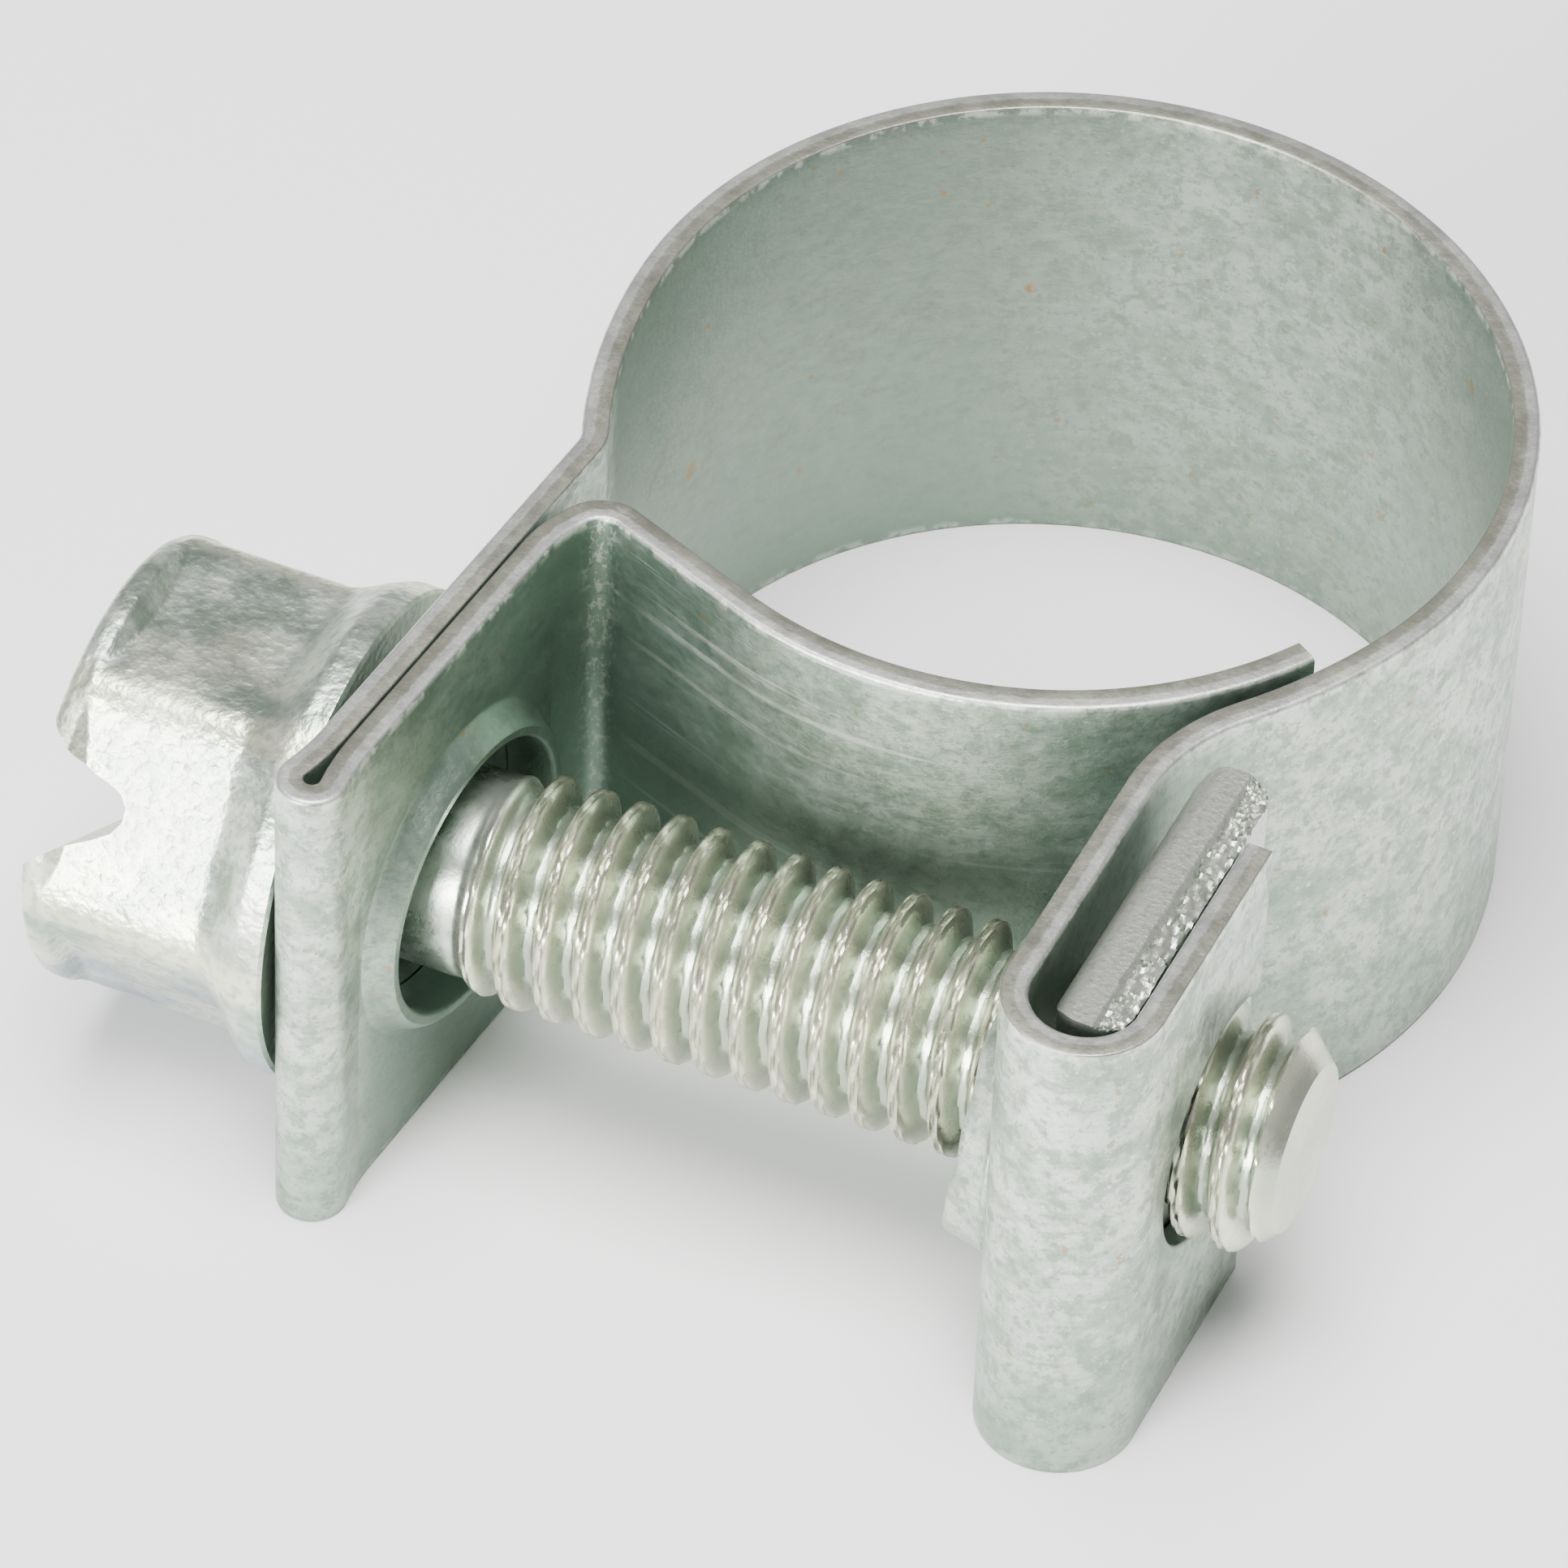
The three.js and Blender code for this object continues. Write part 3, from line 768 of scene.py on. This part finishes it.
class Nodes:
    """Small helper that adds and links shader nodes."""

    def __init__(self, name, roughness, metallic):
        self.material = bpy.data.materials.new(name)
        self.material.use_nodes = True
        self.tree = self.material.node_tree
        self.tree.nodes.clear()
        self.shader = self.tree.nodes.new("ShaderNodeBsdfPrincipled")
        self.shader.inputs["Metallic"].default_value = metallic
        self.shader.inputs["Roughness"].default_value = roughness
        output = self.tree.nodes.new("ShaderNodeOutputMaterial")
        self.link(self.shader.outputs["BSDF"], output.inputs["Surface"])

    def link(self, a, b):
        self.tree.links.new(a, b)

    def put(self, socket, value):
        """Links a socket to another one, or sets its value."""
        if isinstance(value, bpy.types.NodeSocket):
            self.link(value, socket)
        else:
            socket.default_value = value

    def object_mm(self):
        """Position on the resting piece, in millimetres."""
        node = self.tree.nodes.new("ShaderNodeTexCoord")
        scale = self.tree.nodes.new("ShaderNodeVectorMath")
        scale.operation = "SCALE"
        self.link(node.outputs["Object"], scale.inputs[0])
        scale.inputs["Scale"].default_value = 1 / MM
        return scale.outputs[0]

    def attribute(self, name):
        node = self.tree.nodes.new("ShaderNodeAttribute")
        node.attribute_name = name
        return node.outputs["Vector"]

    def split(self, vector):
        node = self.tree.nodes.new("ShaderNodeSeparateXYZ")
        self.link(vector, node.inputs[0])
        return node.outputs

    def scaled(self, vector, x, y, z):
        node = self.tree.nodes.new("ShaderNodeVectorMath")
        node.operation = "MULTIPLY"
        self.link(vector, node.inputs[0])
        node.inputs[1].default_value = (x, y, z)
        return node.outputs[0]

    def noise(self, vector, scale, detail, rough=0.55):
        node = self.tree.nodes.new("ShaderNodeTexNoise")
        self.link(vector, node.inputs["Vector"])
        node.inputs["Scale"].default_value = scale
        node.inputs["Detail"].default_value = detail
        node.inputs["Roughness"].default_value = rough
        return node.outputs["Fac"]

    def math(self, operation, a, b=0.0):
        node = self.tree.nodes.new("ShaderNodeMath")
        node.operation = operation
        self.put(node.inputs[0], a)
        self.put(node.inputs[1], b)
        return node.outputs[0]

    def times(self, a, b):
        return self.math("MULTIPLY", a, b)

    def minus(self, a, b):
        return self.math("SUBTRACT", a, b)

    def away(self, value, middle):
        return self.math("ABSOLUTE", self.minus(value, middle))

    def length(self, a, b):
        """Length of the flat vector (a, b)."""
        return self.math("SQRT", self.math("ADD", self.times(a, a), self.times(b, b)))

    def range(self, value, low, high, to_low=0.0, to_high=1.0):
        """Maps low..high to to_low..to_high, smoothly and without going past them."""
        node = self.tree.nodes.new("ShaderNodeMapRange")
        node.interpolation_type = "SMOOTHSTEP"
        self.put(node.inputs["Value"], value)
        for key, number in zip(("From Min", "From Max", "To Min", "To Max"),
                               (low, high, to_low, to_high)):
            node.inputs[key].default_value = number
        return node.outputs["Result"]

    def mix(self, share, a, b):
        """Colour a, with the given share of colour b."""
        node = self.tree.nodes.new("ShaderNodeMix")
        node.data_type = "RGBA"
        self.put(node.inputs["Factor"], share)
        for socket, value in ((node.inputs[6], a), (node.inputs[7], b)):
            self.put(socket, (*value, 1.0) if isinstance(value, tuple) else value)
        return node.outputs[2]

    def spot(self, vector, centre, radius, soft):
        """1 inside a ball round the centre, fading to 0 over the soft share of its radius."""
        node = self.tree.nodes.new("ShaderNodeVectorMath")
        node.operation = "DISTANCE"
        self.link(vector, node.inputs[0])
        node.inputs[1].default_value = centre
        return self.range(node.outputs["Value"], radius * (1 - soft), radius, 1.0, 0.0)

    def bump(self, height, strength, distance_mm, normal=None):
        node = self.tree.nodes.new("ShaderNodeBump")
        self.put(node.inputs["Height"], height)
        node.inputs["Strength"].default_value = strength
        node.inputs["Distance"].default_value = distance_mm * MM
        if normal is not None:
            self.link(normal, node.inputs["Normal"])
        return node.outputs["Normal"]


ZINC_LIGHT = (0.70, 0.75, 0.67)
ZINC_MID = (0.37, 0.44, 0.37)
# dull zinc tone for random mottling, also used as painted shade inside the loop and in the thread's
# valleys
ZINC_DULL_AND_SHADE = (0.24, 0.30, 0.25)
PAINTED_SHADE_GREEN = (0.16, 0.23, 0.18)      # painted shade, dark green, for corners and the gap between the ears
ZINC_WARM = (0.92, 0.90, 0.72)
# painted shade, lilac, for the lower side of the screw head
LILAC_SHADE = (0.38, 0.43, 0.49)
EDGE_BRIGHT = (0.62, 0.61, 0.58)
EDGE_TORN = (0.30, 0.28, 0.21)
# bright colour for scuffs and scratches, and for painted highlights
SCRATCH_AND_HIGHLIGHT = (0.84, 0.87, 0.80)
CREASE = (0.80, 0.80, 0.74)
RUST = (0.42, 0.20, 0.05)
NUT_CLEAN = (0.74, 0.75, 0.69)
NUT_BROWN = (0.40, 0.37, 0.30)
CREST_LINE = (0.44, 0.39, 0.30)
RUST_SPOTS = (                       # (centre in the clamp's axes, radius)
    ((-7.27, 1.16, 4.29), 0.30),
    ((-3.25, 6.60, 5.64), 0.16),
    ((-6.60, -13.07, 3.08), 0.20),
)
CORNER_REACH = 7.0                   # millimetres over which painted shade darkens the corners
AO_SAMPLES = 8

# Patterns in the plating: how fine, how detailed and how rough each noise is.
STRIP_MOTTLE = (0.8, 9, 0.78)
STRIP_STREAK = (1.2, 7, 0.75)
STRIP_GRAIN = (2.6, 5, 0.7)
FINE_GRAIN = (7.0, 4, 0.65)
HEAD_MOTTLE = (0.8, 6, 0.65)
HEAD_PEBBLE = (5.5, 2, 0.45)
NUT_GRAIN = (9.0, 4, 0.65)
STRETCH_MOTTLE = (1.0, 1.0, 1.3)     # along the strip, through it and across it
STRETCH_STREAK = (1.8, 3.0, 4.2)
STRETCH_LINES = (0.12, 0.0, 5.0)


def shade_corners(n, colour, reach=CORNER_REACH, depth=0.85):
    """Paints shade into a colour where other metal stands close by."""
    node = n.tree.nodes.new("ShaderNodeAmbientOcclusion")
    node.samples = AO_SAMPLES
    node.inputs["Distance"].default_value = reach * MM
    hidden = n.range(node.outputs["AO"], 0.15, 1.0, depth, 0.0)
    return n.mix(hidden, colour, PAINTED_SHADE_GREEN)


def strip_edge_colour(n, colour, strip, offset, z):
    """Sheared edges: bright on one half, torn and brown on the other, with a dotted line of painted
    highlights along the corner.
    """
    half = WIDTH / 2
    from_middle = n.away(z, half)
    edge = n.range(from_middle, half - 0.05, half - 0.01)
    ragged = n.math("ADD", offset, n.times(n.noise(strip, 5.0, 3), 0.12))
    tear = n.range(ragged, 0.03, 0.08, 0.0, 0.8)
    colour = n.mix(n.times(edge, 0.8), colour, n.mix(tear, EDGE_BRIGHT, EDGE_TORN))
    corner = n.times(
        n.range(from_middle, half - 0.22, half - 0.08),
        n.range(from_middle, half - 0.03, half - 0.01, 1.0, 0.0),
    )
    # dotted painted highlights along the corner of the edge
    dotted = n.times(corner, n.range(n.noise(strip, 3.2, 4), 0.46, 0.58, 0.0, 0.8))
    return n.mix(dotted, colour, SCRATCH_AND_HIGHLIGHT)


def painted_bore_shade(n, body):
    """Painted shade inside the loop, strongest toward its two sides."""
    x, y, _ = n.split(body)
    across = n.minus(x, SHIFT.x)
    out = n.minus(y, SHIFT.y)
    in_bore = n.range(n.length(across, out), LOOP_R - 0.1, LOOP_R, 1.0, 0.0)
    inside = n.times(in_bore, n.range(out, -4.5, -2.5))
    toward_sides = n.range(n.away(across, 1.0), 1.0, 6.0, 0.35, 0.9)
    return n.times(inside, toward_sides)


def gap_side(n, s):
    """1 on the strip past the fold of the screw ear: the layer that faces the gap, and the tongue."""
    inner = screw_side[SCREW_INNER][0]
    return n.range(s, inner - 0.9, inner + 0.2)


def painted_gap_shade(n, body, s):
    """Painted shade on the gap side, darkest in the sharp corner between the ear and the tongue."""
    corner_x, corner_y, _ = strip_point(TONGUE_START)
    plan = n.scaled(body, 1, 1, 0)
    centre = (corner_x + SHIFT.x, corner_y + SHIFT.y, 0)
    near = n.math("MAXIMUM", n.spot(plan, centre, 8.0, 0.9), n.spot(plan, centre, 3.8, 0.6))
    on_ear = n.range(s, TONGUE_START - 0.1, TONGUE_START + 0.1, 0.85, 0.0)
    shade_share = n.math("MAXIMUM", near, on_ear)
    return n.times(gap_side(n, s), n.times(shade_share, 0.9))


def tongue_colour(n, colour, s, strip):
    """Lengthwise lines on the tongue, partly scratches and partly painted highlights, and the
    crumbled plating where it bends.
    """
    on_tongue = n.range(s, TONGUE_START + 0.4, TONGUE_START + 1.2)
    # bright lengthwise lines: partly scratches, partly painted highlights
    lines = n.range(n.noise(n.scaled(strip, *STRETCH_LINES), 1.0, 3), 0.57, 0.66, 0.0, 0.7)
    colour = n.mix(n.times(on_tongue, lines), colour, SCRATCH_AND_HIGHLIGHT)
    crumbs = n.times(
        n.range(n.away(s, TONGUE_START), 0.25, 0.7, 1.0, 0.0),
        n.range(n.noise(strip, 4.5, 4, 0.7), 0.50, 0.60, 0.0, 0.8),
    )
    return n.mix(crumbs, colour, CREASE)


def zinc_strip():
    """Plated strip: mottled faces with lengthwise rolling marks, scuffs and a little rust, with
    painted highlights on specks, tongue lines and edge corners, and painted shade inside the loop, in
    the gap and in corners.
    """
    n = Nodes("zinc_strip_look", roughness=0.4, metallic=0.88)
    body = n.object_mm()
    strip = n.attribute("strip")
    s, offset, z = n.split(strip)
    mottle = n.noise(n.scaled(strip, *STRETCH_MOTTLE), *STRIP_MOTTLE)
    streak = n.noise(n.scaled(strip, *STRETCH_STREAK), *STRIP_STREAK)
    grain = n.noise(body, *STRIP_GRAIN)
    fine = n.noise(body, *FINE_GRAIN)
    colour = n.mix(n.range(mottle, 0.38, 0.60), ZINC_MID, ZINC_LIGHT)
    colour = n.mix(n.range(streak, 0.56, 0.68, 0.0, 0.4), colour, ZINC_DULL_AND_SHADE)
    colour = n.mix(n.range(grain, 0.50, 0.60, 0.0, 0.6), colour, ZINC_DULL_AND_SHADE)
    colour = n.mix(n.range(fine, 0.54, 0.66, 0.0, 0.6), colour, ZINC_DULL_AND_SHADE)
    # bright fine specks: partly scuffs, partly painted glints
    colour = n.mix(n.range(fine, 0.32, 0.40, 0.6, 0.0), colour, SCRATCH_AND_HIGHLIGHT)
    # painted shade inside the loop
    colour = n.mix(painted_bore_shade(n, body), colour, ZINC_DULL_AND_SHADE)
    # painted shade on the gap side and in the corner between the ear and the tongue
    colour = n.mix(painted_gap_shade(n, body, s), colour, PAINTED_SHADE_GREEN)
    colour = n.mix(n.range(n.noise(body, 3.1, 2), 0.70, 0.74, 0.0, 0.6), colour, RUST)
    colour = tongue_colour(n, colour, s, strip)
    colour = strip_edge_colour(n, colour, strip, offset, z)
    for centre, radius in RUST_SPOTS:
        blot = n.spot(body, tuple(Vector(centre) + SHIFT), radius, 0.8)
        colour = n.mix(n.times(blot, n.range(fine, 0.4, 0.6, 0.3, 0.9)), colour, RUST)
    n.link(shade_corners(n, colour), n.shader.inputs["Base Color"])
    rough = n.math("ADD", n.range(mottle, 0.3, 0.7, 0.34, 0.48),
                   n.range(streak, 0.3, 0.7, -0.05, 0.07))
    n.link(rough, n.shader.inputs["Roughness"])
    normal = n.bump(fine, 0.45, 0.02)
    normal = n.bump(streak, 0.35, 0.03, normal)
    n.link(normal, n.shader.inputs["Normal"])
    return n.material


def hex_corner_mask(n, out, up):
    """1 along the corners of the hexagon, 0 on its flats; out and up are from the screw's axis."""
    angle = n.minus(n.math("ARCTAN2", up, out), math.radians(HEX_TURN))
    return n.range(n.math("COSINE", n.times(angle, 6.0)), 0.80, 0.97)


def zinc_screw():
    """Plated screw: pebbled head with worn corners and painted lilac shade on its lower side, matte
    warm thread with painted shade in its valleys and corners.
    """
    n = Nodes("zinc_screw_look", roughness=0.3, metallic=0.9)
    body = n.object_mm()
    x, y, z = n.split(body)
    out = n.minus(y, SCREW_Y + SHIFT.y)
    up = n.minus(z, SCREW_Z + SHIFT.z)
    radius = n.length(out, up)
    flange = FLANGE_FACE + SHIFT.x
    thread = THREAD_START + SHIFT.x
    on_head = n.range(x, flange - 0.1, flange + 0.1, 1.0, 0.0)
    on_thread = n.range(x, thread, thread + 0.4)
    mottle = n.noise(body, *HEAD_MOTTLE)
    fine = n.noise(body, *FINE_GRAIN)
    pebble = n.noise(body, *HEAD_PEBBLE)
    sheen = n.range(n.noise(body, 0.45, 2), 0.5, 0.65, 0.0, 0.5)
    stain = n.range(n.noise(body, 0.7, 4), 0.42, 0.62, 0.0, 0.35)
    colour = n.mix(n.range(mottle, 0.38, 0.62), ZINC_MID, ZINC_LIGHT)
    for where, share, paint in (
        # painted lilac shade on the head's lower side
        (on_head, n.range(z, 2.6, 4.4, 1.0, 0.0), LILAC_SHADE),
        (on_head, n.times(hex_corner_mask(n, out, up), 0.7), ZINC_WARM),
        (on_head, sheen, ZINC_WARM),
        (on_head, n.range(pebble, 0.48, 0.62, 0.0, 0.35), ZINC_DULL_AND_SHADE),
        (on_thread, 0.9, ZINC_WARM),
        (on_thread, stain, ZINC_MID),
        # painted shade in the thread's valleys
        (on_thread, n.range(radius, ROOT_R, ROOT_R + 0.22, 0.45, 0.0), ZINC_DULL_AND_SHADE),
        (on_thread, n.range(radius, CREST_R - 0.035, CREST_R - 0.01, 0.0, 0.7), CREST_LINE),
    ):
        colour = n.mix(n.times(where, share), colour, paint)
    colour = n.mix(n.range(fine, 0.58, 0.72, 0.0, 0.45), colour, ZINC_DULL_AND_SHADE)
    n.link(shade_corners(n, colour, 0.7, 0.75), n.shader.inputs["Base Color"])
    rough = n.math("ADD", n.range(mottle, 0.3, 0.7, 0.22, 0.34), n.times(on_head, 0.10))
    n.link(rough, n.shader.inputs["Roughness"])
    normal = n.bump(n.times(on_head, pebble), 0.6, 0.055)
    normal = n.bump(fine, 0.35, 0.02, normal)
    n.link(normal, n.shader.inputs["Normal"])
    return n.material


def zinc_nut():
    """Punched plate: clean faces and a coarse, glittering grain."""
    n = Nodes("zinc_nut_look", roughness=0.34, metallic=0.92)
    body = n.object_mm()
    fine = n.noise(body, *NUT_GRAIN)
    colour = n.mix(n.range(fine, 0.46, 0.72, 0.0, 0.6), NUT_CLEAN, NUT_BROWN)
    n.link(shade_corners(n, colour, 0.8, 0.6), n.shader.inputs["Base Color"])
    n.link(n.bump(fine, 0.5, 0.03), n.shader.inputs["Normal"])
    return n.material


def wear(piece, material):
    """Gives a piece its one material."""
    piece.data.materials.clear()
    piece.data.materials.append(material)


# ---- scene --------------------------------------------------------------------------------

AZIMUTH = math.radians(21.786)       # from the clamp to the camera
ELEVATION = math.radians(44.795)
ROLL = math.radians(2.524)
AIM_RIGHT = 4.597                    # how far the loop's middle is right of the view's middle
AIM_UP = 2.882
DISTANCE = 183.644
FIELD = math.radians(8.255374)
CLIP = (0.01, 10)                    # metres
FLOOR_HALF = 0.6                     # metres
FLOOR_PALE = (0.95, 0.95, 0.94, 1)
SKY = (0.93, 0.97, 0.96, 1)
SKY_STRENGTH = 0.36
LIGHT_AIM = (0, -3, 4)


def make_camera():
    toward = Vector((
        math.sin(AZIMUTH) * math.cos(ELEVATION),
        -math.cos(AZIMUTH) * math.cos(ELEVATION),
        math.sin(ELEVATION),
    ))
    level = Vector((math.cos(AZIMUTH), math.sin(AZIMUTH), 0))
    upright = toward.cross(level)
    right = level * math.cos(ROLL) + upright * math.sin(ROLL)
    up = upright * math.cos(ROLL) - level * math.sin(ROLL)
    eye = toward * DISTANCE - right * AIM_RIGHT - up * AIM_UP + Vector((0, 0, SCREW_Z))
    data = bpy.data.cameras.new("camera")
    data.sensor_fit = "HORIZONTAL"
    data.angle = FIELD
    data.clip_start, data.clip_end = CLIP
    camera = bpy.data.objects.new("camera", data)
    rotation = Matrix((right, up, toward)).transposed().to_4x4()
    camera.matrix_world = Matrix.Translation(place(*eye)) @ rotation
    bpy.context.scene.collection.objects.link(camera)
    bpy.context.scene.camera = camera


def make_floor():
    corners = [(-1, -1), (1, -1), (1, 1), (-1, 1)]
    mesh = bpy.data.meshes.new("floor")
    mesh.from_pydata([(x * FLOOR_HALF, y * FLOOR_HALF, 0) for x, y in corners],
                     [], [(0, 1, 2, 3)])
    floor = bpy.data.objects.new("floor", mesh)
    bpy.context.scene.collection.objects.link(floor)
    n = Nodes("floor_look", roughness=0.8, metallic=0.0)
    n.shader.inputs["Base Color"].default_value = FLOOR_PALE
    mesh.materials.append(n.material)


def add_light(name, position, size, watts):
    """A soft square light that faces the clamp; position and size in metres."""
    data = bpy.data.lights.new(name, "AREA")
    data.shape = "SQUARE"
    data.size = size
    data.energy = watts
    light = bpy.data.objects.new(name, data)
    direction = Vector(position) - place(*LIGHT_AIM)
    light.matrix_world = (
        Matrix.Translation(position) @ direction.to_track_quat("Z", "Y").to_matrix().to_4x4()
    )
    bpy.context.scene.collection.objects.link(light)


def make_lights():
    world = bpy.data.worlds.new("studio")
    bpy.context.scene.world = world
    world.use_nodes = True
    background = world.node_tree.nodes["Background"]
    background.inputs["Color"].default_value = SKY
    background.inputs["Strength"].default_value = SKY_STRENGTH
    add_light("front", (-0.09, -0.32, 0.10), 0.15, 2.4)
    add_light("top", (0.0, -0.06, 0.40), 0.25, 3.5)


make_camera()
make_floor()
make_lights()

strip_look = zinc_strip()
for piece in make_strip():
    wear(piece, strip_look)
screw_look = zinc_screw()
for piece in (make_head(), make_shank()):
    wear(piece, screw_look)
wear(make_nut(), zinc_nut())
